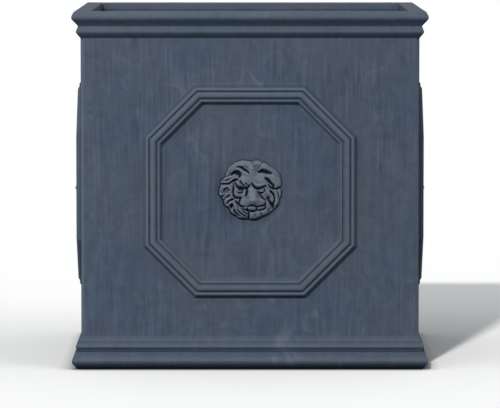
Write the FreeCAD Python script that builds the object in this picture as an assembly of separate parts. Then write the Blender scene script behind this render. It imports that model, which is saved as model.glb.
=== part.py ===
import FreeCAD, Part
import math
import os
from FreeCAD import Vector

# Square garden planter with a lead finish. Four mitred walls stand in a moulded plinth under a moulded rim.
# Every face carries a raised octagon and a cast lion mask. A plug lifts out of the drain in the floor.
# Millimetres, +Z up, front towards -Y, origin on the ground under the middle.

# Walls
overall_height = 464.0
wall_width = 438.0           # over the flat outer faces
wall_thickness = 10.0
arris_radius = 6.0           # rounded upright corners

# Rim, measured out from the wall's face and down from the top
rim_depth = 34.5             # where its underside meets the wall
rim_cap = 12.0               # solid above the wall's top edge
rim_lip_thickness = 3.0      # lip over the wall's inner face
rim_lip_drop = 12.0          # lip below the wall's top edge
rim_flat_out = 8.0           # outer end of the flat top
rim_edge_radius = 2.0
rim_nose_out = 12.6          # corners before rounding
rim_nose_drop = 8.3
rim_nose_radius = 5.8
rim_waist_out = 2.9
rim_waist_drop = 19.0
rim_waist_radius = 2.2
rim_bead_out = 6.1
rim_bead_drop = 26.8
rim_bead_radius = 3.2

# Plinth, measured out from the wall's face and up from the ground
plinth_height = 43.5         # where its cove meets the wall
plinth_sole = 6.0            # solid under the wall's lower edge
plinth_cove_out = 1.1
plinth_cove_rise = 40.0
plinth_cove_radius = 10.0
plinth_crease_out = 3.9      # cove's lower end, over the bead
plinth_crease_rise = 35.6
plinth_crease_depth = 1.2
plinth_bead_out = 6.9
plinth_bead_rise = 30.2
plinth_bead_radius = 1.4
plinth_drip_out = 6.6        # bead's lower corner, over the groove
plinth_drip_rise = 28.3
plinth_drip_radius = 0.9
plinth_groove_out = 4.8
plinth_groove_top = 26.6
plinth_shelf_rise = 22.6
plinth_shelf_out = 7.9
plinth_hollow_out = 9.6      # hollow flare between the shelf and the nose
plinth_hollow_rise = 16.5
plinth_hollow_radius = 12.0
plinth_nose_out = 11.9
plinth_nose_rise = 11.9
plinth_nose_radius = 1.2
plinth_toe_rise = 8.2        # rolled underside, sloping in to the foot
plinth_toe_radius = 7.0
plinth_foot_out = 3.7
plinth_ease = 0.5            # small fillets

# Octagon moulding, laid flat on the wall
octagon_gap_above = 60.7     # bare wall under the rim
octagon_gap_below = 49.6     # bare wall over the plinth
octagon_gap_side = 80.8      # bare wall to the corner
octagon_corner_cut = 66.5
moulding_width = 23.6        # the section keeps its proportions at any width
moulding_edge = moulding_width * 0.068             # upright edge on both sides
outer_hollow_in = moulding_width * 0.066
outer_hollow_height = moulding_width * 0.13
outer_neck_in = moulding_width * 0.1145            # end of the hollow, under the bead
outer_bead_in = moulding_width * 0.231
outer_bead_height = moulding_width * 0.314
outer_groove_in = moulding_width * 0.3475
groove_height = moulding_width * 0.216
main_bead_in = moulding_width * 0.551
main_bead_height = moulding_width * 0.411
inner_groove_in = moulding_width * 0.7545
inner_bead_in = moulding_width * 0.85
inner_bead_height = moulding_width * 0.2995
inner_neck_in = moulding_width * 0.9455
inner_hollow_in = moulding_width * 0.965
inner_hollow_height = moulding_width * 0.134

# Lion mask
mask_radius = 40.0           # plan sizes of its forms are in fortieths of this
mask_edge_height = 2.4       # mane at the outline
mask_dome = 7.0              # swell of the middle above the mane's edge
mask_grid_step = 1.7         # spacing of the relief's surface points

# Mask fixings
stud_diameter = 6.0
stud_hole_clearance = 0.25
thread_clearance = 0.05
washer_diameter = 16.0
washer_thickness = 1.5
nut_across_flats = 10.0
nut_thickness = 5.0
stud_past_nut = 1.5

# Floor
ledge_width = 18.0
ledge_depth = 18.0
base_underside = 30.0
base_thickness = 12.0
base_clearance = 0.5
batten_leg = 25.0
batten_top_clearance = 2.0

# Drain
bush_bore = 25.0
bush_wall = 3.5
bush_below_base = 3.0
bush_flange_diameter = 48.0
bush_flange_thickness = 2.5
bush_clearance = 0.2
plug_clearance = 0.3
plug_taper = 0.8
plug_depth = 17.0
plug_flange_diameter = 34.0
plug_flange_thickness = 3.0
plug_grip_diameter = 14.0
plug_grip_neck = 9.0
plug_grip_height = 14.0

wall_half = wall_width / 2
inner_half = wall_half - wall_thickness
wall_top = overall_height - rim_cap
octagon_width = wall_width - 2 * octagon_gap_side
octagon_top = overall_height - rim_depth - octagon_gap_above
octagon_foot = plinth_height + octagon_gap_below
octagon_height = octagon_top - octagon_foot
face_centre_height = (octagon_top + octagon_foot) / 2
base_top = base_underside + base_thickness
sides = (("front", 0), ("right", 90), ("rear", 180), ("left", 270))
reach = wall_width * 0.6     # half-length of a rail before its mitres
up = Vector(0, 0, 1)
zero = Vector(0, 0, 0)


def rounded_outline(corners):
    # Closed wire through (a, b, radius) corners in the XY plane, each corner an arc tangent to its two lines.
    points = [Vector(a, b, 0) for a, b, r in corners]
    count = len(points)
    ends = []
    for i, (a, b, r) in enumerate(corners):
        before = (points[i - 1] - points[i]).normalize()
        after = (points[(i + 1) % count] - points[i]).normalize()
        if r == 0:
            ends.append((points[i], None, points[i]))
            continue
        half = before.getAngle(after) / 2
        start = points[i] + before * (r / math.tan(half))
        end = points[i] + after * (r / math.tan(half))
        middle = points[i] + (before + after).normalize() * (r / math.sin(half) - r)
        ends.append((start, middle, end))
    edges = []
    for i in range(count):
        start, middle, end = ends[i]
        following = ends[(i + 1) % count][0]
        if middle is not None:
            edges.append(Part.Arc(start, middle, end).toShape())
        if end.distanceToPoint(following) > 1e-6:
            edges.append(Part.LineSegment(end, following).toShape())
    return Part.Wire(edges)


def arc_path(points):
    # Edges through the points: a pair is a line, a triple an arc over its middle point.
    edges = []
    for stretch in points:
        stretch = [Vector(a, b, 0) for a, b in stretch]
        if len(stretch) == 2:
            edges.append(Part.LineSegment(*stretch).toShape())
        else:
            edges.append(Part.Arc(*stretch).toShape())
    return Part.Wire(edges)


def prism(wire, height):
    return Part.Face(wire).extrude(up * height)


def turned(shape, angle):
    copy = shape.copy()
    copy.rotate(zero, up, angle)
    return copy


def on_face(shape):
    # From a flat layout, X right, Y up and Z out, to the middle of the front wall's outer face.
    copy = shape.copy()
    copy.rotate(zero, Vector(1, 0, 0), 90)
    copy.translate(Vector(0, -wall_half, face_centre_height))
    return copy


def rail(wire):
    # A section drawn as (out from the wall, height), run along the front and mitred at both corners.
    long = prism(wire, 2 * reach)
    long.rotate(zero, Vector(1, 1, 1), 120)
    long.rotate(zero, up, 180)
    long.translate(Vector(reach, -wall_half, 0))
    return long.common(corner_wedge)


def export(name, shape):
    shape.exportStep("parts/%s.step" % name)
    print(name, "solids", len(shape.Solids), "volume", round(shape.Volume), "valid", shape.isValid())


def export_round(name, shape):
    for side, angle in sides:
        export("%s_%s" % (side, name), turned(shape, angle))


wedge_outline = [Vector(0, 0, 0), Vector(reach, -reach, 0), Vector(-reach, -reach, 0), Vector(0, 0, 0)]
corner_wedge = prism(Part.makePolygon(wedge_outline), overall_height)

# Walls: one rounded tube on the plinth's sole, parted on the mitres
tube = Part.makeBox(wall_width, wall_width, wall_top - plinth_sole, Vector(-wall_half, -wall_half, plinth_sole))
uprights = [e for e in tube.Edges if abs(e.Vertexes[0].Z - e.Vertexes[1].Z) > 1]
tube = tube.makeFillet(arris_radius, uprights)
hollow = Part.makeBox(2 * inner_half, 2 * inner_half, overall_height, Vector(-inner_half, -inner_half, 0))
tube = tube.cut(hollow)
stud_radius = stud_diameter / 2
stud_hole = Part.makeCylinder(stud_radius + stud_hole_clearance, wall_thickness, zero, Vector(0, 0, -1))
export_round("wall", tube.common(corner_wedge).cut(on_face(stud_hole)))

# Rim: saddle over the wall's top edge; its underside runs on inwards to close on the rounded arris
top = overall_height
lip_in = -(wall_thickness + rim_lip_thickness)
lip_foot = wall_top - rim_lip_drop
underside_slope = (rim_depth - rim_bead_drop) / rim_bead_out
run_in = arris_radius / 2
rim_section = rounded_outline([
    (-run_in, top - rim_depth - run_in * underside_slope, 0),
    (rim_bead_out, top - rim_bead_drop, rim_bead_radius),
    (rim_waist_out, top - rim_waist_drop, rim_waist_radius),
    (rim_nose_out, top - rim_nose_drop, rim_nose_radius),
    (rim_flat_out, top, rim_edge_radius),
    (lip_in, top, rim_edge_radius),
    (lip_in, lip_foot, 0),
    (-wall_thickness, lip_foot, 0),
])
export_round("rim", rail(rim_section).cut(tube))

# Plinth: cove, bead, drip groove and hollow flare over a rolled toe, with a sole under the wall
flare_slope = (plinth_height - plinth_cove_rise) / plinth_cove_out
plinth_section = rounded_outline([
    (-run_in, plinth_height + run_in * flare_slope, 0),
    (plinth_cove_out, plinth_cove_rise, plinth_cove_radius),
    (plinth_crease_out, plinth_crease_rise, plinth_ease),
    (plinth_crease_out, plinth_crease_rise - plinth_crease_depth, plinth_ease),
    (plinth_bead_out, plinth_bead_rise, plinth_bead_radius),
    (plinth_drip_out, plinth_drip_rise, plinth_drip_radius),
    (plinth_groove_out, plinth_groove_top, plinth_ease),
    (plinth_groove_out, plinth_shelf_rise, plinth_ease),
    (plinth_shelf_out, plinth_shelf_rise, plinth_ease),
    (plinth_hollow_out, plinth_hollow_rise, plinth_hollow_radius),
    (plinth_nose_out, plinth_nose_rise, plinth_nose_radius),
    (plinth_nose_out, plinth_toe_rise, plinth_toe_radius),
    (plinth_foot_out, 0, plinth_ease),
    (-wall_thickness, 0, 0),
    (-wall_thickness, plinth_sole, 0),
    (-run_in, plinth_sole, 0),
])
export_round("plinth", rail(plinth_section).cut(tube))

# Octagon: eight mitred lengths of one moulding a face
outer_neck = (outer_neck_in, groove_height)
outer_groove = (outer_groove_in, groove_height)
inner_groove = (inner_groove_in, groove_height)
inner_neck = (inner_neck_in, groove_height)
moulding = arc_path([
    ((0, 0), (0, moulding_edge)),
    ((0, moulding_edge), (outer_hollow_in, outer_hollow_height), outer_neck),
    (outer_neck, (outer_bead_in, outer_bead_height), outer_groove),
    (outer_groove, (main_bead_in, main_bead_height), inner_groove),
    (inner_groove, (inner_bead_in, inner_bead_height), inner_neck),
    (inner_neck, (inner_hollow_in, inner_hollow_height), (moulding_width, moulding_edge)),
    ((moulding_width, moulding_edge), (moulding_width, 0)),
    ((moulding_width, 0), (0, 0)),
])
wide = octagon_width / 2
tall = octagon_height / 2
cut = octagon_corner_cut
octagon = [(wide - cut, tall), (wide, tall - cut), (wide, cut - tall), (wide - cut, -tall),
           (cut - wide, -tall), (-wide, cut - tall), (-wide, tall - cut), (cut - wide, tall)]
octagon = [Vector(a, b, 0) for a, b in octagon]
lengths = []
for i in range(8):
    side = octagon[i] - octagon[i - 1]
    half = side.Length / 2
    inner = half - moulding_width * math.tan(math.radians(22.5))
    run = prism(moulding, 2 * half)
    run.rotate(zero, Vector(1, 1, 1), 120)
    run.rotate(zero, up, 180)
    run.translate(Vector(half, 0, 0))
    plan = [(-half, 0), (half, 0), (inner, -moulding_width), (-inner, -moulding_width)]
    plan = Part.makePolygon([Vector(a, b, 0) for a, b in plan + plan[:1]])
    length = turned(run.common(prism(plan, main_bead_height * 1.2)), math.degrees(math.atan2(side.y, side.x)))
    length.translate((octagon[i] + octagon[i - 1]) / 2)
    lengths.append(length)
export_round("octagon", on_face(Part.makeCompound(lengths)))


# Lion mask: a relief over an uneven outline, given as a radius every 22.5 degrees from the right, upwards
mask_outline = (39.5, 42, 42.4, 41.4, 38.4, 41.2, 40.4, 38.4, 41.4, 39.4, 38, 39.2, 39.2, 38.2, 38.6, 40.6)
# Swells and hollows: x, y, half-width, half-height, tilt, rise in mm, steepness of the edge
mask_forms = [
    (1.5, -5, 21, 25, 0, 1.0, 2.2),                                       # face
    (-6.5, 16.5, 9.5, 6.5, 12, 1.8, 1.3), (11.5, 15, 9.5, 7.5, -12, 2.0, 1.3),    # forehead
    (-13, 1.2, 7.5, 4.6, -14, -2.8, 1.2), (15, 1.2, 7.5, 4.6, 14, -2.8, 1.2),     # eye hollows
    (-12.6, 0.9, 3.4, 2.2, -12, 1.9, 1.2), (14.4, 0.7, 3.4, 2.2, 12, 1.9, 1.2),   # eyes
    (-16.5, -6.5, 5.5, 5.5, 0, 1.4, 1.2), (19.5, -5.5, 5.5, 6, 0, 1.4, 1.2),      # cheeks
    (2.4, -4, 5.6, 9, 0, 1.8, 1.5), (3, -9.5, 8.6, 6.5, 0, 1.2, 1.5),             # nose and its tip
    (2.4, -13.6, 16.2, 7, 0, 2.8, 2.0),                                   # muzzle
    (1.6, -22.7, 6, 2.2, 0, 2.0, 1.5), (2, -31, 13, 6, 0, 1.2, 1.4),              # lower lip and chin
]
# Locks, brows and furrows along smooth lines: half-width, rise in mm, then points
mask_strokes = [
    (3.4, 2.4, (1, 30), (-9, 34), (-19, 32), (-25, 27), (-29, 20)),       # fringe
    (3.0, 2.0, (3, 30), (8, 34), (14, 36)),
    (2.8, 2.8, (10, 27), (21, 31.5), (32, 24), (37, 18)),
    (2.6, 2.6, (33, 17.5), (35.3, 11), (39, 3)),                          # locks down the right side
    (2.2, 2.6, (23, -13), (24, -19), (22, -24)),
    (2.0, 2.4, (28, -9), (31.5, -14.6), (27, -25)),
    (2.0, 2.4, (33, -3), (35, -12), (32.6, -21)),
    (2.2, 2.8, (-37, 10), (-31, 13), (-25, 17), (-15, 16.6)),             # locks down the left side
    (2.0, 2.4, (-39, 0.6), (-33, 6), (-26, 4), (-25.4, -1)),
    (1.9, 2.2, (-38, -8), (-32, -5), (-25, -1.5)),
    (2.0, 2.6, (-33, -20), (-23.3, -13.3), (-17.4, -22)),
    (1.9, 2.4, (-27, -24.5), (-20, -30), (-12, -35)),
    (1.9, 2.4, (-17, -22.5), (-12, -29), (-4, -35)),
    (2.0, 2.2, (1.4, -29.5), (5, -33), (4.4, -37)),                       # beard
    (2.0, 2.2, (6.6, -28.5), (11.6, -31), (11.2, -35.4)),
    (2.0, 2.2, (13, -27), (18, -29), (22, -29)),
    (2.2, 3.0, (-17.4, 10), (-10.8, 7.8), (-4.4, 4.8)),                   # brows and bridge of the nose
    (2.3, 3.0, (4.6, 8), (9.6, 6.4), (15, 6.8), (20.4, 9.6)),
    (3.2, 2.2, (0.8, 8), (1.6, 1), (2.4, -5)),
    (1.7, -3.6, (-16, 31), (-8, 27), (-1.6, 23)),                         # furrows under the fringe
    (2.2, -4.4, (12, 25), (18, 25), (28, 21.4)),
    (2.0, -4.4, (-23, 20.6), (-17, 24), (-12.6, 21.4), (-13.8, 17)),
    (1.7, -4.0, (20, 16), (26.8, 9.8), (30, 3)),                          # furrows round the face
    (1.6, -3.4, (-18.5, 13), (-22.9, -0.8), (-18, -9.8), (-12.8, -8.6)),
    (1.6, -3.8, (-19.4, 7.6), (-11.4, 2.9), (-2.8, 3.8)),
    (1.6, -3.8, (2.8, 9.8), (8.4, 3), (20.4, 7)),
    (1.8, -3.0, (-2.8, 1.4), (-5.6, -4.6), (-5.6, -9.4)),
    (1.5, -2.2, (9, -0.5), (13.4, -7.4), (19.8, -13.3)),
    (1.6, -4.0, (-13.4, -19.6), (-8, -21.3), (3, -18.2), (11.6, -20.8), (19, -17)),   # mouth
    (1.6, -3.6, (-12, -23.4), (2.4, -27.5), (18.4, -21.2)),
]
mask_unit = mask_radius / 40
stroke_samples = 24
mask_lines = []
for half_width, rise, *points in mask_strokes:
    line = Part.BSplineCurve()
    line.interpolate([Vector(a, b, 0) * mask_unit for a, b in points])
    mask_lines.append((half_width * mask_unit, rise, line.discretize(stroke_samples)))
edge_points = []
for k, radius in enumerate(mask_outline):
    turn = 2 * math.pi * k / len(mask_outline)
    edge_points.append(Vector(math.cos(turn), math.sin(turn), 0) * (radius * mask_unit))
mask_edge = Part.BSplineCurve()
mask_edge.interpolate(edge_points, PeriodicFlag=True)


def edge_radius(turn):
    # Outline's radius at an angle, run smoothly between the given ones.
    step = turn / (2 * math.pi) * len(mask_outline)
    first = math.floor(step)
    share = (1 - math.cos(math.pi * (step - first))) / 2
    here = mask_outline[first % len(mask_outline)]
    following = mask_outline[(first + 1) % len(mask_outline)]
    return (here + (following - here) * share) * mask_unit


def relief(x, y):
    # Height of the mask's front over the wall at a point of its plan.
    ring = math.hypot(x, y) / edge_radius(math.atan2(y, x))
    height = mask_edge_height + mask_dome * max(0.0, 1 - ring ** 3) ** 0.7
    carving = 0
    for a, b, wide, tall, tilt, rise, steep in mask_forms:
        turn = math.radians(tilt)
        dx = x / mask_unit - a
        dy = y / mask_unit - b
        along = (dx * math.cos(turn) + dy * math.sin(turn)) / wide
        across = (dy * math.cos(turn) - dx * math.sin(turn)) / tall
        carving += rise * math.exp(-(along ** 2 + across ** 2) ** steep)
    for half_width, rise, samples in mask_lines:
        near = min((x - p.x) ** 2 + (y - p.y) ** 2 for p in samples)
        carving += rise * math.exp(-near / half_width ** 2)
    fade = min(1.0, max(0.0, (1 - ring) / 0.08))
    return max(height + carving * fade, mask_edge_height / 2)


half_grid = int(max(mask_outline) * mask_unit / mask_grid_step) + 2
grid = []
for i in range(-half_grid, half_grid + 1):
    row = []
    for j in range(-half_grid, half_grid + 1):
        x = i * mask_grid_step
        y = j * mask_grid_step
        row.append(Vector(x, y, relief(x, y)))
    grid.append(row)
front = Part.BSplineSurface()
front.interpolate(grid)
mask_depth = 4 * (mask_edge_height + mask_dome)
mask_plan = prism(Part.Wire(mask_edge.toShape()), mask_depth)
mask = front.toShape().extrude(up * -mask_depth).common(mask_plan)
stud_length = wall_thickness + washer_thickness + nut_thickness + stud_past_nut
stud = Part.makeCylinder(stud_radius, stud_length + mask_edge_height / 2, Vector(0, 0, -stud_length))
export_round("lion_mask", on_face(mask.fuse(stud).removeSplitter()))

# Mask fixings behind the walls
washer = Part.makeCylinder(washer_diameter / 2, washer_thickness)
washer = washer.cut(Part.makeCylinder(stud_radius + stud_hole_clearance, washer_thickness))
washer.translate(Vector(0, 0, -wall_thickness - washer_thickness))
nut_points = []
for k in range(7):
    turn = math.radians(60 * k)
    nut_points.append(Vector(math.cos(turn), math.sin(turn), 0) * (nut_across_flats / math.sqrt(3)))
nut = prism(Part.makePolygon(nut_points), nut_thickness)
nut = nut.cut(Part.makeCylinder(stud_radius + thread_clearance, nut_thickness))
nut.translate(Vector(0, 0, -wall_thickness - washer_thickness - nut_thickness))
export("mask_washers", Part.makeCompound([turned(on_face(washer), angle) for side, angle in sides]))
export("mask_nuts", Part.makeCompound([turned(on_face(nut), angle) for side, angle in sides]))

# Floor: ledges, panel and corner battens
ledge_section = rounded_outline([
    (-wall_thickness, base_underside - ledge_depth, 0),
    (-wall_thickness, base_underside, 0),
    (-wall_thickness - ledge_width, base_underside, 0),
    (-wall_thickness - ledge_width, base_underside - ledge_depth, 0),
])
export_round("ledge", rail(ledge_section))
base_half = inner_half - base_clearance
base = Part.makeBox(2 * base_half, 2 * base_half, base_thickness, Vector(-base_half, -base_half, base_underside))
bush_outer = bush_bore / 2 + bush_wall
base = base.cut(Part.makeCylinder(bush_outer + bush_clearance, overall_height))
flange_seat = base_top - bush_flange_thickness
flange_radius = bush_flange_diameter / 2
base = base.cut(Part.makeCylinder(flange_radius + bush_clearance, overall_height, Vector(0, 0, flange_seat)))
export("base_panel", base)
batten_plan = [(inner_half, -inner_half), (inner_half, -inner_half + batten_leg), (inner_half - batten_leg, -inner_half)]
batten_plan = Part.makePolygon([Vector(a, b, 0) for a, b in batten_plan + batten_plan[:1]])
batten = prism(batten_plan, lip_foot - batten_top_clearance - base_top)
batten.translate(Vector(0, 0, base_top))
for corner, angle in (("front_right", 0), ("rear_right", 90), ("rear_left", 180), ("front_left", 270)):
    export("%s_corner_batten" % corner, turned(batten, angle))


# Drain bush and plug, turned about the middle from (radius, height) outlines
def turning(corners):
    wire = rounded_outline(corners)
    wire.rotate(zero, Vector(1, 0, 0), 90)
    return Part.Face(wire).revolve(zero, up, 360)


export("drain_bush", turning([
    (bush_bore / 2, base_underside - bush_below_base, 0),
    (bush_outer, base_underside - bush_below_base, 0),
    (bush_outer, flange_seat, 0),
    (flange_radius, flange_seat, 0),
    (flange_radius, base_top, 0.8),
    (bush_bore / 2, base_top, 0.8),
]))
plug_radius = bush_bore / 2 - plug_clearance
plug_seat = base_top + plug_flange_thickness
export("drain_plug", turning([
    (0, base_top - plug_depth, 0),
    (plug_radius - plug_taper, base_top - plug_depth, 2.0),
    (plug_radius, base_top, 0),
    (plug_flange_diameter / 2, base_top, 0),
    (plug_flange_diameter / 2, plug_seat, 1.0),
    (plug_grip_neck / 2, plug_seat, 1.5),
    (plug_grip_neck / 2, plug_seat + plug_grip_height * 0.45, 0.8),
    (plug_grip_diameter / 2, plug_seat + plug_grip_height * 0.6, 2.0),
    (plug_grip_diameter / 2, plug_seat + plug_grip_height, 2.5),
    (0, plug_seat + plug_grip_height, 0),
]))
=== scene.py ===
import math

import bmesh
import bpy
import numpy as np
from mathutils import Matrix, Vector


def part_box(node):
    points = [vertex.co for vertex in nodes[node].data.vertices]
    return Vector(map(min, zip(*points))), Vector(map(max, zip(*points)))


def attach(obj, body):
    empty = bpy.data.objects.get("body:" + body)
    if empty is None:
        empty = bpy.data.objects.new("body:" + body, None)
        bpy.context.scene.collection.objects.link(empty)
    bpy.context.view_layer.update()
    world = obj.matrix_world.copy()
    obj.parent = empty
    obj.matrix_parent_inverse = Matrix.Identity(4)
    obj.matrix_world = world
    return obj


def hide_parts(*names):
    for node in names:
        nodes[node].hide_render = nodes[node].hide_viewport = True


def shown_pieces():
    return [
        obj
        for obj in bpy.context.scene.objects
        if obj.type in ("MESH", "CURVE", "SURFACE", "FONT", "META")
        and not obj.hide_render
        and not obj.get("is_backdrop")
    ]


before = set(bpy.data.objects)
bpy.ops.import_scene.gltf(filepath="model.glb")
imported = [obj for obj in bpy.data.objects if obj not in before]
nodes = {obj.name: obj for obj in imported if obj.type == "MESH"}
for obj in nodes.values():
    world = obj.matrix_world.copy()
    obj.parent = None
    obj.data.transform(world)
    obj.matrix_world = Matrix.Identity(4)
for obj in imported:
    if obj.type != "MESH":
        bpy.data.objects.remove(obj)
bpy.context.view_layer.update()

scene = bpy.context.scene
sides = (("front", 0), ("right", 90), ("rear", 180), ("left", 270))
wallHalf = -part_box("front_wall")[0].y
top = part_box("front_rim")[1].z
nutLow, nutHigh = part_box("mask_nuts")
faceCentre = (nutLow.z + nutHigh.z) / 2
print("frame loaded:", len(nodes), "CAD nodes")


# Node helpers


def mathNode(tree, operation, a, b=None, clamp=False):
    node = tree.nodes.new("ShaderNodeMath")
    node.operation = operation
    node.use_clamp = clamp
    for socket, value in zip(node.inputs, (a, b)):
        if isinstance(value, (int, float)):
            socket.default_value = value
        elif value is not None:
            tree.links.new(value, socket)
    return node.outputs[0]


def mixColour(tree, blend, factor, a, b):
    node = tree.nodes.new("ShaderNodeMix")
    node.data_type = "RGBA"
    node.blend_type = blend
    for socket, value in zip((node.inputs[0], node.inputs[6], node.inputs[7]), (factor, a, b)):
        if isinstance(value, (int, float, tuple)):
            socket.default_value = value
        else:
            tree.links.new(value, socket)
    return node.outputs[2]


def noiseMask(tree, place, scale, detail, low, high, stretch=(1, 1, 1), shift=(0, 0, 0), bend=0):
    mapping = tree.nodes.new("ShaderNodeMapping")
    mapping.inputs["Scale"].default_value = stretch
    mapping.inputs["Location"].default_value = shift
    tree.links.new(place, mapping.inputs["Vector"])
    noise = tree.nodes.new("ShaderNodeTexNoise")
    noise.inputs["Scale"].default_value = scale
    noise.inputs["Detail"].default_value = detail
    noise.inputs["Distortion"].default_value = bend
    tree.links.new(mapping.outputs["Vector"], noise.inputs["Vector"])
    span = tree.nodes.new("ShaderNodeMapRange")
    span.inputs["From Min"].default_value = low
    span.inputs["From Max"].default_value = high
    tree.links.new(noise.outputs[0], span.inputs["Value"])
    return span.outputs["Result"]


def greyNode(tree, value):
    grey = tree.nodes.new("ShaderNodeCombineColor")
    for socket in grey.inputs:
        tree.links.new(value, socket)
    return grey.outputs[0]


def newMaterial(name):
    material = bpy.data.materials.new(name)
    material.use_nodes = True
    return material, material.node_tree, material.node_tree.nodes["Principled BSDF"]


def addBump(tree, shader, height, strength, distance):
    bump = tree.nodes.new("ShaderNodeBump")
    bump.inputs["Strength"].default_value = strength
    bump.inputs["Distance"].default_value = distance
    tree.links.new(height, bump.inputs["Height"])
    tree.links.new(bump.outputs["Normal"], shader.inputs["Normal"])


# Lead finish: slate blue-grey, brushed; paler where rubbed and where highlight is painted on, dark with patina in
# the hollows and with painted shade

leadFinish = {
    "colour": (0.082, 0.096, 0.129, 1), "blue": (0.0675, 0.0925, 0.131, 1),
    "pale": (0.160, 0.182, 0.222, 1), "dark": (0.008, 0.014, 0.024, 1),
    "noises": {
        "streaks": {"scale": 290, "detail": 3, "low": 0.25, "high": 0.75, "stretch": (1, 1, 0.07)},
        "patches": {"scale": 16, "detail": 2, "low": 0.38, "high": 0.62, "shift": (2, 5, 1)},
        "clouds": {"scale": 42, "detail": 5, "low": 0.25, "high": 0.75, "bend": 1.4},
        "blue": {"scale": 9, "detail": 3, "low": 0.35, "high": 0.65, "shift": (4, 0, 2)},
        "specks": {"scale": 420, "detail": 2, "low": 0.3, "high": 0.7},
        "scuffs": {"scale": 42, "detail": 6, "low": 0.62, "high": 0.74, "stretch": (1, 1, 0.55),
                   "shift": (3, 1, 7), "bend": 0.8},
    },
    "leastStreaks": 0.4, "grain": 0.08, "cloudRoughness": 0.1, "speckHeight": 0.4,
    "roughness": 0.85, "specular": 0.06, "bump": 0.12, "bumpDepth": 0.0006,
    "outlineShade": [(0.7, 0), (0.85, 0.22), (1, 0.5)],    # painted shade: darker where a surface turns away from the camera
}


def leadGroup():
    tree = bpy.data.node_groups.new("leadFinish", "ShaderNodeTree")
    for name in ("Streaks", "Clouds", "Scuffs", "WearAndShade"):
        tree.interface.new_socket(name=name, in_out="INPUT", socket_type="NodeSocketFloat")
    tree.interface.new_socket(name="Colour", in_out="OUTPUT", socket_type="NodeSocketColor")
    for name in ("Roughness", "Height"):
        tree.interface.new_socket(name=name, in_out="OUTPUT", socket_type="NodeSocketFloat")
    given = tree.nodes.new("NodeGroupInput").outputs
    made = tree.nodes.new("NodeGroupOutput").inputs
    place = tree.nodes.new("ShaderNodeTexCoord").outputs["Object"]
    noise = {name: noiseMask(tree, place, **look) for name, look in leadFinish["noises"].items()}
    patches = mathNode(tree, "ADD", noise["patches"], leadFinish["leastStreaks"])
    streaks = mathNode(tree, "MULTIPLY", mathNode(tree, "SUBTRACT", noise["streaks"], 0.5), given["Streaks"])
    streaks = mathNode(tree, "MULTIPLY", streaks, patches)
    clouds = mathNode(tree, "MULTIPLY", mathNode(tree, "SUBTRACT", noise["clouds"], 0.5), given["Clouds"])
    grain = mathNode(tree, "MULTIPLY", mathNode(tree, "SUBTRACT", noise["specks"], 0.5), leadFinish["grain"])
    lift = mathNode(tree, "ADD", mathNode(tree, "ADD", streaks, clouds), mathNode(tree, "ADD", grain, 1.0))
    colour = mixColour(tree, "MIX", noise["blue"], leadFinish["colour"], leadFinish["blue"])
    colour = mixColour(tree, "MULTIPLY", 1.0, colour, greyNode(tree, lift))
    scuffs = mathNode(tree, "MULTIPLY", noise["scuffs"], given["Scuffs"])
    colour = mixColour(tree, "MIX", scuffs, colour, leadFinish["pale"])
    # Below zero the wear pales the colour (rubbed crests and painted highlight), above zero it darkens it (patina
    # and painted shade)
    paleWearAndLight = mathNode(tree, "MULTIPLY", given["WearAndShade"], -1.0, clamp=True)
    colour = mixColour(tree, "MIX", paleWearAndLight, colour, leadFinish["pale"])
    darkPatinaAndShade = mathNode(tree, "MULTIPLY", given["WearAndShade"], 1.0, clamp=True)
    colour = mixColour(tree, "MIX", darkPatinaAndShade, colour, leadFinish["dark"])
    tree.links.new(colour, made["Colour"])
    rough = mathNode(tree, "MULTIPLY", noise["clouds"], leadFinish["cloudRoughness"])
    tree.links.new(mathNode(tree, "ADD", rough, leadFinish["roughness"]), made["Roughness"])
    height = mathNode(tree, "MULTIPLY", noise["specks"], leadFinish["speckHeight"])
    tree.links.new(mathNode(tree, "ADD", noise["streaks"], height), made["Height"])
    return tree


# Place on a face in millimetres: in from the octagon's outline, out from the wall, off the mask's middle

facePlace = {"cornerCut": 0.0665, "unit": 1000}


def faceGroup():
    tree = bpy.data.node_groups.new("facePlace", "ShaderNodeTree")
    for name in ("Across", "Out", "Ring", "Corner", "Height"):
        tree.interface.new_socket(name=name, in_out="OUTPUT", socket_type="NodeSocketFloat")
    made = tree.nodes.new("NodeGroupOutput").inputs
    parted = tree.nodes.new("ShaderNodeSeparateXYZ")
    tree.links.new(tree.nodes.new("ShaderNodeTexCoord").outputs["Object"], parted.inputs[0])
    x = mathNode(tree, "ABSOLUTE", parted.outputs["X"])
    y = mathNode(tree, "ABSOLUTE", parted.outputs["Y"])
    along = mathNode(tree, "MINIMUM", x, y)
    low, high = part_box("front_octagon")
    wide, tall, middle = high.x, (high.z - low.z) / 2, (high.z + low.z) / 2
    rise = mathNode(tree, "SUBTRACT", parted.outputs["Z"], middle)
    up = mathNode(tree, "ABSOLUTE", rise)
    slant = mathNode(tree, "SUBTRACT", wide + tall - facePlace["cornerCut"], mathNode(tree, "ADD", along, up))
    slant = mathNode(tree, "MULTIPLY", slant, math.sqrt(0.5))
    inward = mathNode(tree, "SUBTRACT", wide, along)
    across = mathNode(tree, "MINIMUM", inward, mathNode(tree, "SUBTRACT", tall, up))
    across = mathNode(tree, "MINIMUM", across, slant)
    ring = mathNode(tree, "ADD", mathNode(tree, "POWER", along, 2.0), mathNode(tree, "POWER", up, 2.0))
    out = mathNode(tree, "SUBTRACT", mathNode(tree, "MAXIMUM", x, y), wallHalf)
    corner = mathNode(tree, "SUBTRACT", along, wallHalf)
    for name, value in (("Across", across), ("Out", out), ("Ring", mathNode(tree, "SQRT", ring)),
                        ("Corner", corner), ("Height", parted.outputs["Z"])):
        tree.links.new(mathNode(tree, "MULTIPLY", value, facePlace["unit"]), made[name])
    return tree


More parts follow.
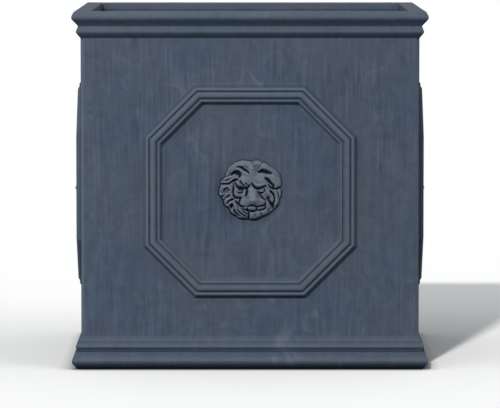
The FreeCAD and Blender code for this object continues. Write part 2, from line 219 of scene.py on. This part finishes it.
def profileNode(tree, value, stops):
    span = tree.nodes.new("ShaderNodeMapRange")
    low, high = stops[0][0], stops[-1][0]
    span.inputs["From Min"].default_value = low
    span.inputs["From Max"].default_value = high
    tree.links.new(value, span.inputs["Value"])
    ramp = tree.nodes.new("ShaderNodeValToRGB")
    ramp.color_ramp.interpolation = "EASE"
    marks = ramp.color_ramp.elements
    while len(marks) < len(stops):
        marks.new(0.5)
    for mark, (place, wearAndShade) in zip(marks, stops):
        mark.position = (place - low) / (high - low)
        mark.color = (0.5 + wearAndShade / 2, 0.5 + wearAndShade / 2, 0.5 + wearAndShade / 2, 1)
    tree.links.new(span.outputs["Result"], ramp.inputs["Fac"])
    level = mathNode(tree, "SUBTRACT", ramp.outputs["Color"], 0.5)
    return mathNode(tree, "MULTIPLY", level, 2.0)


def wearAndShadeNode(tree, look):
    if "attribute" in look:
        layer = tree.nodes.new("ShaderNodeAttribute")
        layer.attribute_name = look["attribute"]
        return layer.outputs["Fac"]
    face = tree.nodes.new("ShaderNodeGroup")
    face.node_tree = faceNodes
    wornAndShaded = 0.0
    for output, stops in look["wearAndShade"].items():
        wornAndShaded = mathNode(tree, "ADD", profileNode(tree, face.outputs[output], stops), wornAndShaded)
    if "outside" in look:
        outside = mathNode(tree, "GREATER_THAN", face.outputs["Out"], look["outside"])    # not on inner faces
        wornAndShaded = mathNode(tree, "MULTIPLY", wornAndShaded, outside)
    return wornAndShaded


def leadMaterial(name, look):
    material, tree, shader = newMaterial(name)
    lead = tree.nodes.new("ShaderNodeGroup")
    lead.node_tree = leadNodes
    for socket in ("Streaks", "Clouds", "Scuffs"):
        lead.inputs[socket].default_value = look[socket.lower()]
    turned = tree.nodes.new("ShaderNodeLayerWeight").outputs["Facing"]
    # Painted shade along the outlines, added to the wear
    turnedShade = profileNode(tree, turned, leadFinish["outlineShade"])
    tree.links.new(mathNode(tree, "ADD", wearAndShadeNode(tree, look), turnedShade), lead.inputs["WearAndShade"])
    tree.links.new(lead.outputs["Colour"], shader.inputs["Base Color"])
    tree.links.new(lead.outputs["Roughness"], shader.inputs["Roughness"])
    shader.inputs["Specular IOR Level"].default_value = leadFinish["specular"]
    addBump(tree, shader, lead.outputs["Height"], leadFinish["bump"], leadFinish["bumpDepth"])
    return material


# Metal, plastic and rubber of the hidden fittings

fittings = {
    "steel": {"colour": (0.55, 0.56, 0.57, 1), "metallic": 1.0, "roughness": 0.28,
              "grain": {"scale": 900, "detail": 3, "low": 0.3, "high": 0.7, "stretch": (1, 1, 0.1)}},
    "plastic": {"colour": (0.020, 0.020, 0.022, 1), "metallic": 0.0, "roughness": 0.45,
                "grain": {"scale": 1400, "detail": 3, "low": 0.3, "high": 0.7}},
    "rubber": {"colour": (0.017, 0.017, 0.017, 1), "metallic": 0.0, "roughness": 0.75,
               "grain": {"scale": 500, "detail": 3, "low": 0.3, "high": 0.7}},
}
fittingDust = {
    "noise": {"scale": 60, "detail": 4, "low": 0.45, "high": 0.8}, "colour": (0.2, 0.19, 0.17, 1),
    "share": 0.12, "roughness": 0.2, "grainShade": 0.25, "darkest": 0.85, "bump": 0.15, "bumpDepth": 0.0002,
}


def fittingMaterial(name):
    look = fittings[name]
    material, tree, shader = newMaterial(name)
    place = tree.nodes.new("ShaderNodeTexCoord").outputs["Object"]
    grain = noiseMask(tree, place, **look["grain"])
    dust = noiseMask(tree, place, **fittingDust["noise"])
    shade = mathNode(tree, "MULTIPLY", grain, fittingDust["grainShade"])
    shade = greyNode(tree, mathNode(tree, "ADD", shade, fittingDust["darkest"]))
    colour = mixColour(tree, "MULTIPLY", 1.0, look["colour"], shade)
    dusted = mathNode(tree, "MULTIPLY", dust, fittingDust["share"])
    tree.links.new(mixColour(tree, "MIX", dusted, colour, fittingDust["colour"]), shader.inputs["Base Color"])
    rough = mathNode(tree, "MULTIPLY", dust, fittingDust["roughness"])
    tree.links.new(mathNode(tree, "ADD", rough, look["roughness"]), shader.inputs["Roughness"])
    shader.inputs["Metallic"].default_value = look["metallic"]
    addBump(tree, shader, grain, fittingDust["bump"], fittingDust["bumpDepth"])
    return material


# How each lead piece is worn and shaded: 1 dark (patina in a hollow, painted shade), -1 pale (rubbed crest,
# painted highlight), against millimetres across it

topMm = top * facePlace["unit"]
leadLooks = {
    # Wall: painted light lifts the shadow beside the octagon, painted shade rings the mask, arrises paler from
    # rubbing and painted highlight
    "wall": {"streaks": 0.34, "clouds": 0.3, "scuffs": 0.34, "outside": -7.0, "wearAndShade": {
        "Across": [(-6, 0), (-1, -0.1), (24.5, -0.1), (30, 0)],
        "Ring": [(38, 0.14), (42, 0.1), (47, 0)],
        "Corner": [(-9, 0), (-4, -0.05), (-2, -0.5), (-1.5, -0.5)]}},
    # Octagon: crests paler from rubbing and painted highlight, painted light lifts the shadow at the inner edge,
    # painted shade along the outer edge, grooves darker with patina
    "octagon": {"streaks": 0.1, "clouds": 0.24, "scuffs": 0.2, "wearAndShade": {
        "Across": [(0, 0.22), (1.6, 0.16), (2.8, 0.06), (4, -0.38), (6.2, -0.4), (7.2, 0), (8, 0.08), (8.6, 0.08),
                   (9.6, -0.1), (11, -0.36), (14.2, -0.26), (15.6, 0), (17, -0.08), (18.2, -0.15), (19.2, -0.2),
                   (20.6, -0.25), (22, -0.15), (23.6, -0.35)]}},
    # Rim: painted shade on the underside, the lower bead and the waist; paler nose and top from rubbing and
    # painted highlight
    "rim": {"streaks": 0.1, "clouds": 0.24, "scuffs": 0.35, "wearAndShade": {
        "Height": [(topMm - 38, 0.6), (topMm - 32, 0.5), (topMm - 28.5, 0.14), (topMm - 25, -0.1),
                   (topMm - 21, -0.05), (topMm - 18, 0.14), (topMm - 12.5, 0.24), (topMm - 10, 0.1),
                   (topMm - 6.5, -0.2), (topMm - 1.2, -0.26), (topMm - 0.4, -0.45), (topMm, -0.45)]}},
    # Plinth: painted shade at the foot by the floor and under the toe, groove dark with patina and painted shade,
    # painted light under the bead above it, crests paler from rubbing and painted highlight
    "plinth": {"streaks": 0.1, "clouds": 0.24, "scuffs": 0.4, "wearAndShade": {
        "Height": [(0, 1), (2.4, 0.9), (4.2, 0.48), (6, 0.26), (8, 0.26), (10.5, 0.06), (12.4, -0.22), (15, -0.15),
                   (20, -0.01), (22.3, 0), (22.9, 0.5), (25.4, 0.54), (26.6, 0.1), (28, -0.16), (30, -0.22),
                   (34, -0.06), (36, 0.02), (38.6, -0.11), (42, -0.03), (44, -0.02)]}},
    "mask": {"streaks": 0.0, "clouds": 0.2, "scuffs": 0.1, "attribute": "wearAndShade"},
}
leadNodes = leadGroup()
faceNodes = faceGroup()
leads = {name: leadMaterial("lead_" + name, look) for name, look in leadLooks.items()}
finishes = {"mask_washers": "steel", "mask_nuts": "steel", "drain_bush": "plastic", "drain_plug": "rubber"}
for name, node in nodes.items():
    node.data.materials.clear()
    kind = name.split("_")[-1]
    if name in finishes:
        node.data.materials.append(fittingMaterial(finishes[name]))
    else:
        node.data.materials.append(leads[kind if kind in leads else "wall"])
print("finishes made")


# Lion masks: one relief in millimetres, X right, Y up, carved in four copies

lionMask = {
    "unit": 0.001, "grid": 200, "lift": 1.6, "aside": 0.5,    # millimetres up and right of the wall's hole
    "studRadius": 3.0, "studLength": 18.0, "studSides": 32, "inset": 0.05,    # inset: clear of the CAD box
    "edge": 2.4, "tilt": 1.3, "dome": 5.4, "domeFall": 3, "domeRound": 0.55, "thinnest": 0.6, "rimFade": 0.05,
    "skirt": 1.7, "leastSkirt": 0.25, "shade": 245, "shadeSpread": 1.5,    # shade: degrees to the dark side, where the foot gets painted shade
    "faceOval": (1.2, -3, 22.5, 28), "faceSteep": 4, "sink": 0.8,    # the mane lies lower than the face
    "taperFrom": 0.13, "taperSpan": 0.74, "taperRound": 0.6,    # a line's width from end to end
    "lockRound": 0.6, "thinLock": 1.5, "strandCount": 1.4, "strandRise": 0.26,
    "fineHollow": (5, 1.05), "broadHollow": (16, 5.5), "polishAndHighlight": 0.28,    # hollows: reach in cells, depth; fine hollows darken as patina, broad ones as painted shade, and the pale offset lightens the rest as rubbed wear and painted highlight
    # outline: radius every 5.625 degrees from the right
    "radii": (40, 39.2, 41.2, 42.4, 42.8, 43.4, 43.2, 42.4, 41.3, 40.2, 40.8, 41.2, 41.2, 41.2, 40.4, 39.2,
              38.6, 39.2, 40.1, 41, 41, 41.4, 41, 41.2, 40.6, 39.4, 38.4, 37.2, 39.2, 40.4, 38.8, 39.6,
              40.4, 41.2, 39.4, 37.2, 36.8, 38.2, 37, 35.6, 36.4, 37.6, 37.4, 37, 38, 37.8, 37, 36.4,
              37, 37.8, 37.6, 36.8, 36.4, 36.8, 37.4, 38.4, 38.6, 38.4, 39.4, 40.4, 40.2, 39.4, 40, 40.6),
    # locks of the mane: half-width, rise, points
    "locks": [
        (5.0, 2.4, (-30.5, 21), (-28, 26.5), (-22, 31), (-15, 34.4), (-8, 36), (-2, 34), (1.5, 29)),
        (2.4, 2.0, (-25.5, 24.5), (-19.5, 27.6), (-13, 26.8), (-6.5, 22.8), (-2, 20.5)),
        (3.4, 1.6, (4.5, 34), (9, 36), (13, 35)),
        (4.4, 2.4, (9.5, 28), (14.5, 31.5), (20, 31.6), (26, 28.8), (31.5, 25), (38.5, 20.5)),
        (6.4, 2.4, (24, 19), (30, 17), (34.5, 11.5), (36.5, 5.5)), (1.2, 2.2, (23.6, 10), (26, 6.4), (29, 3)),
        (1.4, 2.0, (21, 9.5), (22.6, 5), (26, 0.8)), (2.4, 1.8, (20, 4), (22.6, -1), (23.6, -6)),
        (1.8, 2.2, (24.6, -3), (27.6, -7), (28.6, -12), (27, -15)),
        (2.3, 2.8, (31, 0.5), (33.8, -6.7), (34, -14), (31, -20.6), (26, -26)),
        (1.9, 2.2, (37.6, 0), (38.6, -6), (38, -12.5), (35.6, -18)),
        (2.8, 2.6, (21.6, -14), (23, -18), (23.2, -23.5)),
        (2.0, 2.8, (-38, 10.4), (-30.2, 11.3), (-25.6, 13.2), (-21.5, 15.6), (-17, 16)),
        (2.0, 2.8, (-34.5, 13.6), (-30.5, 16), (-25.6, 17.6), (-20, 18.6), (-16.3, 16.6), (-14.2, 14)),
        (2.8, 2.6, (-40.5, -0.5), (-36, 4), (-30.4, 6.1), (-26.3, 3.6), (-25, 0.4)),
        (2.7, 2.2, (-41, -5.5), (-34.5, -3.6), (-29.6, -0.6), (-25.2, -1)),
        (2.7, 2.2, (-39, -11), (-33, -8.6), (-28.2, -5.4), (-24, -5)),
        (2.3, 2.2, (-36, -16.5), (-30, -12.4), (-25, -9.4)),
        (2.2, 3.4, (-28.4, -19), (-26, -15.9), (-22.4, -14.8), (-19.8, -18.7), (-17.9, -24.3), (-14.5, -28.9),
         (-8.6, -33.6)),
        (1.9, 2.8, (-15.4, -22.5), (-13.4, -25.6), (-9.8, -28.6), (-3.6, -32.4)),
        (2.1, 2.4, (-30, -22.5), (-25, -27.4), (-19.5, -32), (-13, -35.6)),
        (1.6, 2.2, (-34, -19.6), (-30, -19.4), (-27, -22)),
    ],
    # swells and hollows of the face: x, y, half-width, half-height, tilt, rise, steepness
    "forms": [
        (1, -2, 21, 26.5, 0, 1.6, 2.5), (1.5, 27, 5, 7, 0, 1.4, 1.6), (0.8, 6.4, 2.4, 3.4, 0, -2.0, 1.4),
        (-5.5, 15.5, 8.4, 6.8, 8, 2.2, 1.6), (12, 14.5, 8.8, 7.8, -8, 2.4, 1.6),
        (-12.5, 0.6, 6, 3.6, -14, -2.6, 1.3), (14.5, 0, 5.8, 3.3, 12, -2.6, 1.3),
        (-13, 2.2, 1.6, 1.2, -24, 1.2, 1.3), (14.6, 1.4, 2.2, 1.3, 10, 1.4, 1.3),
        (-15.5, -5.4, 4.2, 3.6, 0, 1.2, 1.4), (18.4, -5, 4.4, 5, 0, 1.0, 1.3), (2.8, -2, 5.8, 12, 4, 3.2, 1.9),
        (3.8, -9.5, 8, 6.4, 0, 1.6, 1.6), (-7, -14.6, 6.2, 5.0, 8, 1.2, 2.0),
        (10, -14.2, 8.4, 5.4, -6, 2.4, 2.0), (2, -13.5, 7, 5, 0, 1.6, 1.4), (2, -22.8, 4.4, 2.3, 0, 3.0, 2.4),
        (-6.8, -22.5, 2.0, 1.0, -12, 1.2, 1.4), (13, -22.8, 2.8, 1.3, 4, 1.6, 1.4),
        (6.5, -31.5, 8.6, 5, 0, 2.2, 2.2), (18, -28.5, 5.6, 3.8, 32, 1.8, 1.8),
    ],
    # brows and eyelids: half-width, rise, points
    "ridges": [
        (1.3, 3.0, (-15.8, 12.6), (-12.8, 8.8), (-9.4, 5.6)), (1.3, 3.0, (-10.4, 11), (-7.2, 8), (-3.6, 5.8)),
        (2.2, 2.4, (4.8, 10.4), (7.6, 7.4), (12, 6.6), (19.4, 8.8)),
        (1.1, 3.6, (-17.6, 2.5), (-15.4, -0.7), (-11.2, -0.2)),
        (0.9, 1.4, (-18.4, -2), (-15.4, -4), (-11, -3.8)), (1.0, 3.0, (10.6, 0.4), (14.3, -0.9), (17.4, 0.6)),
        (0.9, 1.4, (14, -5), (17.3, -4), (19.5, -1.8)),
    ],
    # cuts between the locks and round the face: half-width, depth, points
    "cuts": [
        (1.4, 4.6, (-16.6, 30.8), (-12, 30), (-8.2, 27.2), (-4.3, 25.2), (-1.4, 22.4)),
        (1.0, 2.2, (13.4, 32.8), (10.6, 29.4), (8.2, 27)),
        (2.1, 5.2, (10.8, 24.2), (15.5, 24.9), (20.5, 23.7), (27, 21.8)),
        (1.7, 5.0, (-24.4, 20.6), (-20.6, 23.6), (-16.3, 24.4), (-12.8, 22.6)),
        (1.7, 4.2, (-19, 21.6), (-13.4, 20.8), (-14.4, 17.4)),
        (1.1, 4.6, (-40, 8.6), (-29.5, 8.5), (-24.7, 10.8)),
        (1.6, 4.8, (-25, 10.7), (-21, 13.4), (-16.6, 14.8)), (0.8, 2.6, (-31.6, 13), (-28, 14.2)),
        (1.1, 5.0, (-13.6, 12.6), (-10.4, 9.2), (-6.6, 5.6)), (0.8, 3.2, (-7.2, 10.4), (-2.8, 6.6)),
        (1.6, 5.0, (-20, 11), (-18.4, 7.4), (-16.2, 4.8), (-12.1, 3.4), (-7, 3), (-3.2, 4.2), (-1.3, 7)),
        (1.0, 4.0, (-22.3, 9.6), (-21.5, 4.4), (-22.3, -2), (-21.2, -6)),
        (1.7, 4.8, (-21.6, -5.4), (-19.6, -8.6), (-16, -9.6), (-11.4, -9)),
        (1.3, 4.2, (-12.1, -9.4), (-13.4, -12.2), (-14.6, -16.4)),
        (1.2, 4.0, (-19.4, -12.8), (-15.6, -16.9), (-12.4, -19.6)),
        (1.8, 4.0, (-4.4, 3.4), (-4.3, -1), (-5.8, -6.4)), (1.1, 3.4, (-15, 1.9), (-12.6, 1.4), (-8.6, 0.4)),
        (0.9, 3.2, (-16.8, -2.2), (-13.5, -2.8), (-9.6, -2)), (0.9, 2.8, (11, -1.8), (14.3, -3.4), (17.2, -2)),
        (1.6, 5.0, (2.8, 9.4), (4.5, 5.8), (6.9, 3.6), (11, 2.2)),
        (1.0, 4.0, (9.6, 2.3), (13.3, 3.4), (17, 4.9), (20.4, 6)),
        (1.0, 2.6, (11, -3), (13.6, -6.4), (16, -9.6), (20.4, -12.6)), (1.5, 4.2, (22, -9), (23.4, -10.6)),
        (1.8, 5.2, (23.4, -12.8), (27, -17.2), (29.6, -19.8), (28.4, -23)),
        (1.9, 5.2, (19.2, 16), (22.8, 14), (25.4, 10.6), (28, 8.4)),
        (1.4, 5.0, (26.6, 9.6), (29.4, 7), (30, 2.4)), (1.1, 4.0, (23.4, 7.8), (26.6, 4), (30, 1.8)),
        (1.2, 4.4, (29.6, 1.8), (34, 2.1), (37.4, 3.4), (40.5, 2.2)),
        (1.2, 4.2, (25.8, -0.4), (28.4, -3.4), (30.6, -7.4)), (0.8, 2.8, (30.8, -9), (31, -14), (29.6, -18)),
        (1.5, 4.0, (-14.2, -19.2), (-10.6, -20.6), (-7.2, -21.4)),
        (0.9, 3.0, (-3.8, -20.6), (0.4, -19.3), (4.1, -19.4), (7.8, -20.8)),
        (1.1, 3.6, (7, -20.8), (11.5, -20.6), (16.1, -19.6), (19, -18.2), (19.8, -14.6)),
        (0.8, 2.4, (0.6, -22.7), (3.4, -22.7)), (0.9, 3.2, (7.4, -20.6), (8.4, -23), (8.2, -25.6)),
        (0.9, 2.8, (-3.6, -22.4), (-3.4, -25.6)),
        (1.4, 4.0, (-10.6, -23.4), (-6.1, -25.2), (-1.5, -26.6), (4.1, -27.1), (9.2, -25.2)),
        (1.0, 3.4, (8, -25.4), (13.3, -25.2), (18, -23.8), (19.6, -20)), (0.5, 1.6, (11.4, -23), (15, -23)),
        (1.4, 4.2, (-1.9, -28.2), (-1.9, -31), (-2.2, -37)), (1.5, 4.4, (-23.6, -17.6), (-24.2, -22.4)),
        (1.1, 3.8, (-37, -4), (-33.6, -1), (-31.4, 2.4), (-28, 3.2)),
        (1.1, 3.6, (-33, -3.6), (-29.6, -0.4), (-26, 1)), (1.2, 3.8, (-33, -9.6), (-29, -7), (-25.6, -4.6)),
        (0.9, 2.8, (-37.4, -9), (-33.6, -6.4)), (1.1, 3.6, (-30, -15), (-25, -12), (-21, -11)),
        (1.1, 3.8, (-17, -24.4), (-12, -29.8), (-6.6, -33)),
        (1.0, 3.4, (-10.6, -26), (-7, -28.6), (-3.6, -30.2)),
        (1.0, 3.4, (-22, -23.6), (-19, -28.6), (-14, -33.4)), (0.7, 1.6, (5.6, -29.6), (6.4, -34)),
        (0.9, 2.6, (12.8, -28.2), (15.4, -32.6)),
    ],
}


def curveAt(a, b, c, d, t):
    return b + ((c - a) * t + (2 * a - 5 * b + 4 * c - d) * t ** 2 + (3 * b - 3 * c + d - a) * t ** 3) / 2


def smoothLine(points, steps=10):
    p = np.array(points, float)
    p = np.vstack([2 * p[0] - p[1], p, 2 * p[-1] - p[-2]])
    t = np.arange(0, 1, 1 / steps)[:, None]
    runs = [curveAt(*four, t) for four in zip(p, p[1:], p[2:], p[3:])]
    return np.vstack(runs + [p[-2:-1]])


def nearLine(x, y, halfWidth, points):
    line = smoothLine(points)
    run = np.gradient(line, axis=0)
    run /= np.hypot(run[:, 0], run[:, 1])[:, None]
    reach = np.full_like(x, 1e6)
    taper = np.zeros_like(x)
    across = np.zeros_like(x)
    for step, (a, b) in enumerate(line):
        share = lionMask["taperFrom"] + lionMask["taperSpan"] * step / (len(line) - 1)
        width = math.sin(math.pi * share) ** lionMask["taperRound"]
        here = ((x - a) ** 2 + (y - b) ** 2) / (halfWidth * width) ** 2
        closer = here < reach
        reach = np.where(closer, here, reach)
        taper = np.where(closer, width, taper)
        aside = ((y - b) * run[step, 0] - (x - a) * run[step, 1]) / (halfWidth * width)
        across = np.where(closer, aside, across)
    return reach, taper, across


def outlineRadius(angle):
    radii = np.array(lionMask["radii"], float)
    step = angle / (2 * math.pi) * len(radii) % len(radii)
    first = np.floor(step).astype(int)
    return curveAt(*(radii[(first + k) % len(radii)] for k in (-1, 0, 1, 2)), step - first)


def maneRelief(x, y):
    mane = np.zeros_like(x)
    for halfWidth, rise, *points in lionMask["locks"]:
        reach, taper, across = nearLine(x, y, halfWidth, points)
        body = taper * np.clip(1 - reach, 0, 1) ** lionMask["lockRound"]
        count = max(2, round(halfWidth * lionMask["strandCount"])) if halfWidth > lionMask["thinLock"] else 0
        strands = np.cos(across * math.pi * count) * lionMask["strandRise"] if count else 0
        mane = np.maximum(mane, rise * body + strands * np.clip(body * 3 - 1, 0, 1))
    return mane


def faceRelief(x, y):
    face = np.zeros_like(x)
    for a, b, wide, tall, tilt, rise, steep in lionMask["forms"]:
        c, s = math.cos(math.radians(tilt)), math.sin(math.radians(tilt))
        along, over = (x - a) * c + (y - b) * s, (y - b) * c - (x - a) * s
        face += rise * np.exp(-((along / wide) ** 2 + (over / tall) ** 2) ** steep)
    for sign, strokes in ((1, "ridges"), (-1, "cuts")):
        for halfWidth, rise, *points in lionMask[strokes]:
            reach, taper, _ = nearLine(x, y, halfWidth, points)
            face += sign * rise * taper * np.exp(-reach)
    return face


def maskRelief(x, y):
    angle = np.arctan2(y, x)
    ring = np.hypot(x, y) / outlineRadius(angle)
    dome = lionMask["dome"] * np.clip(1 - ring ** lionMask["domeFall"], 0, 1) ** lionMask["domeRound"]
    height = lionMask["edge"] + lionMask["tilt"] * np.cos(angle - math.radians(lionMask["shade"])) * ring + dome
    middleX, middleY, wide, tall = lionMask["faceOval"]
    inFace = np.exp(-(((x - middleX) / wide) ** 2 + ((y - middleY) / tall) ** 2) ** lionMask["faceSteep"])
    height -= lionMask["sink"] * (1 - inFace)
    rim = np.clip((1 - ring) / lionMask["rimFade"], 0, 1) ** 0.5
    return np.maximum(height + rim * maneRelief(x, y) + faceRelief(x, y), lionMask["thinnest"])


def softened(heights, cells):
    weights = np.exp(-0.5 * (np.arange(-3 * cells, 3 * cells + 1) / cells) ** 2)
    weights /= weights.sum()
    padded = np.pad(heights, 3 * cells, mode="edge")
    for axis in (0, 1):
        padded = np.apply_along_axis(np.convolve, axis, padded, weights, "valid")
    return padded


def maskBody():
    bm = bmesh.new()
    cells = lionMask["grid"]
    bmesh.ops.create_grid(bm, x_segments=cells, y_segments=cells, size=1)
    flat = np.array([v.co for v in bm.verts])
    u, v = flat[:, 0], flat[:, 1]
    x, y = u * np.sqrt(1 - v * v / 2), v * np.sqrt(1 - u * u / 2)    # square grid to round plan
    radius = outlineRadius(np.arctan2(y, x))
    x, y = x * radius, y * radius
    height = maskRelief(x, y)
    depth = (-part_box("front_lion_mask")[0].y - wallHalf) / lionMask["unit"] - lionMask["inset"]
    height *= min(1, depth / height.max())
    order = np.lexsort((u.round(4), v.round(4)))
    square = height[order].reshape(cells + 1, cells + 1)
    # Darker in the hollows: patina in fine crevices, painted shade in broad recesses; the pale offset lightens the
    # rest as rubbed wear and painted highlight
    hollows = sum((softened(square, reach) - square) / deep
                  for reach, deep in (lionMask["fineHollow"], lionMask["broadHollow"]))
    wearAndShade = np.empty_like(height)
    wearAndShade[order] = np.clip(hollows - lionMask["polishAndHighlight"], -1, 1).ravel()
    layer = bm.verts.layers.float.new("wearAndShade")
    for vert, a, b, c, wornAndShaded in zip(bm.verts, x, y, height, wearAndShade):
        vert.co = (a, b, c)
        vert[layer] = wornAndShaded
    rim = bmesh.ops.extrude_edge_only(bm, edges=[e for e in bm.edges if e.is_boundary])["geom"]
    for vert in rim:
        if isinstance(vert, bmesh.types.BMVert):
            angle = math.atan2(vert.co.y, vert.co.x)
            # Painted shade: the foot darkens towards the shade side, where it also stands further out
            under = 0.5 + 0.5 * math.cos(angle - math.radians(lionMask["shade"]))
            under = under ** lionMask["shadeSpread"]
            vert.co.xy *= 1 + lionMask["skirt"] * (lionMask["leastSkirt"] + under) / vert.co.xy.length
            vert.co.z = 0
            vert[layer] = under
    bmesh.ops.holes_fill(bm, edges=[e for e in bm.edges if e.is_boundary], sides=0)
    studRadius, studLength = lionMask["studRadius"], lionMask["studLength"]
    middle = Matrix.Translation((-lionMask["aside"], -lionMask["lift"], 0.5 - studLength / 2))
    bmesh.ops.create_cone(bm, cap_ends=True, segments=lionMask["studSides"], radius1=studRadius,
                          radius2=studRadius, depth=studLength + 1, matrix=middle)    # 1 mm of it in the mask
    bmesh.ops.recalc_face_normals(bm, faces=bm.faces)
    return bm


def makeMasks():
    body = maskBody()
    aside, lift = lionMask["aside"] * lionMask["unit"], lionMask["lift"] * lionMask["unit"]
    onFace = Matrix.Translation((aside, -wallHalf, faceCentre + lift))
    onFace = onFace @ Matrix.Rotation(math.radians(90), 4, "X") @ Matrix.Scale(lionMask["unit"], 4)
    for side, angle in sides:
        mesh = bpy.data.meshes.new(side + "_lion")
        body.to_mesh(mesh)
        mesh.transform(Matrix.Rotation(math.radians(angle), 4, "Z") @ onFace)
        mesh.materials.append(leads["mask"])
        for face in mesh.polygons:
            face.use_smooth = True
        mask = bpy.data.objects.new(side + "_lion", mesh)
        scene.collection.objects.link(mask)
        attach(mask, "planter")
        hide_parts(side + "_lion_mask")
    body.free()


makeMasks()
print("lion masks carved")


# Studio: pale floor, front key and soft side lights on the planter, lamps of its own for the floor's shadows

studio = {
    "floorSize": 60, "floorColour": (0.935, 0.92, 0.905, 1), "floorBounce": (0.075, 0.11, 0.155, 1),
    "floorLift": 0.302, "nearReach": 5.0, "nearPower": 2.0, "contactReach": 0.02,
    "dome": 0.08, "domeColour": (0.62, 0.85, 1.0, 1),
    # lamp: degrees to the left of the front, height, strength, softness, distance (0 far away), what it lights
    "lamps": {"key": (19, 31.5, 2.04, 14, 12, "planter"), "left": (49, 17, 0.98, 40, 2.0, "planter"),
              "right": (-62, 18, 1.1, 60, 0, "planter"), "behind": (180, 14, 0.9, 40, 0, "planter"),
              "shadow": (13.7, 31, 3.0, 3, 0, "floor"), "across": (-66, 28, 0.72, 50, 0, "floor"),
              "beside": (50, 22, 0.75, 70, 0, "floor")},
}


def seenNode(tree):
    path = tree.nodes.new("ShaderNodeLightPath")
    seen = mathNode(tree, "MAXIMUM", path.outputs["Is Camera Ray"], path.outputs["Is Glossy Ray"])
    return mathNode(tree, "MAXIMUM", seen, path.outputs["Is Transmission Ray"])


def openNode(tree, reach):
    node = tree.nodes.new("ShaderNodeAmbientOcclusion")
    node.inputs["Distance"].default_value = reach
    return node.outputs["AO"]


def makeFloor():
    mesh = bpy.data.meshes.new("floor")
    bm = bmesh.new()
    bmesh.ops.create_grid(bm, x_segments=1, y_segments=1, size=studio["floorSize"])
    bm.to_mesh(mesh)
    bm.free()
    floor = bpy.data.objects.new("floor", mesh)
    scene.collection.objects.link(floor)
    material, tree, shader = newMaterial("paleFloor")
    shader.inputs["Roughness"].default_value = 1.0
    shader.inputs["Specular IOR Level"].default_value = 0.0
    shader.inputs["Emission Color"].default_value = (1, 1, 1, 1)
    seen = seenNode(tree)
    colour = mixColour(tree, "MIX", seen, studio["floorBounce"], studio["floorColour"])
    # Painted shade on the floor: its camera-only glow darkens by occlusion near the planter and at its foot, and
    # its colour darkens at the foot
    near, contact = openNode(tree, studio["nearReach"]), openNode(tree, studio["contactReach"])
    colour = mixColour(tree, "MULTIPLY", 1.0, colour, greyNode(tree, contact))
    tree.links.new(colour, shader.inputs["Base Color"])
    lift = mathNode(tree, "MULTIPLY", mathNode(tree, "POWER", near, studio["nearPower"]), studio["floorLift"])
    lift = mathNode(tree, "MULTIPLY", lift, contact)
    tree.links.new(mathNode(tree, "MULTIPLY", seen, lift), shader.inputs["Emission Strength"])
    mesh.materials.append(material)
    floor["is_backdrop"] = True
    return floor


def makeLamp(name, side, height, strength, softness, distance, lit):
    side, height, softness = math.radians(side), math.radians(height), math.radians(softness)
    towards = Vector((-math.sin(side) * math.cos(height), -math.cos(side) * math.cos(height), math.sin(height)))
    if distance:
        light = bpy.data.lights.new(name, "AREA")
        light.shape = "DISK"
        light.size = 2 * distance * math.tan(softness / 2)
        light.energy = strength * math.pi * distance ** 2    # same level at the planter as a far lamp
    else:
        light = bpy.data.lights.new(name, "SUN")
        light.angle = softness
        light.energy = strength
    lamp = bpy.data.objects.new(name, light)
    lamp.location = towards * distance + Vector((0, 0, faceCentre))
    lamp.rotation_euler = towards.to_track_quat("Z", "Y").to_euler()
    scene.collection.objects.link(lamp)
    lamp.light_linking.receiver_collection = lit


def makeWorld():
    world = bpy.data.worlds.new("studio")
    scene.world = world
    world.use_nodes = True
    tree = world.node_tree
    light = tree.nodes["Background"]
    seen = seenNode(tree)
    tree.links.new(mixColour(tree, "MIX", seen, studio["domeColour"], (1, 1, 1, 1)), light.inputs["Color"])
    level = mathNode(tree, "MULTIPLY", seen, 1 - studio["dome"])
    tree.links.new(mathNode(tree, "ADD", level, studio["dome"]), light.inputs["Strength"])


cameraSet = {"lens": 300, "sensor": 36, "place": (0, -5.598, 0.616), "pitch": 4.266, "farthest": 200}


def makeCamera():
    data = bpy.data.cameras.new("camera")
    data.lens = cameraSet["lens"]
    data.sensor_width = cameraSet["sensor"]
    data.clip_end = cameraSet["farthest"]
    camera = bpy.data.objects.new("camera", data)
    camera.location = cameraSet["place"]
    camera.rotation_euler = (math.radians(90 - cameraSet["pitch"]), 0, 0)
    scene.collection.objects.link(camera)
    scene.camera = camera


lit = {}
for name, objects in (("planter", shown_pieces()), ("floor", [makeFloor()])):
    lit[name] = bpy.data.collections.new(name)
    for piece in objects:
        lit[name].objects.link(piece)
for name, (*setting, receiver) in studio["lamps"].items():
    makeLamp(name, *setting, lit[receiver])
makeWorld()
makeCamera()
scene.view_settings.view_transform = "Standard"
print("stage set")
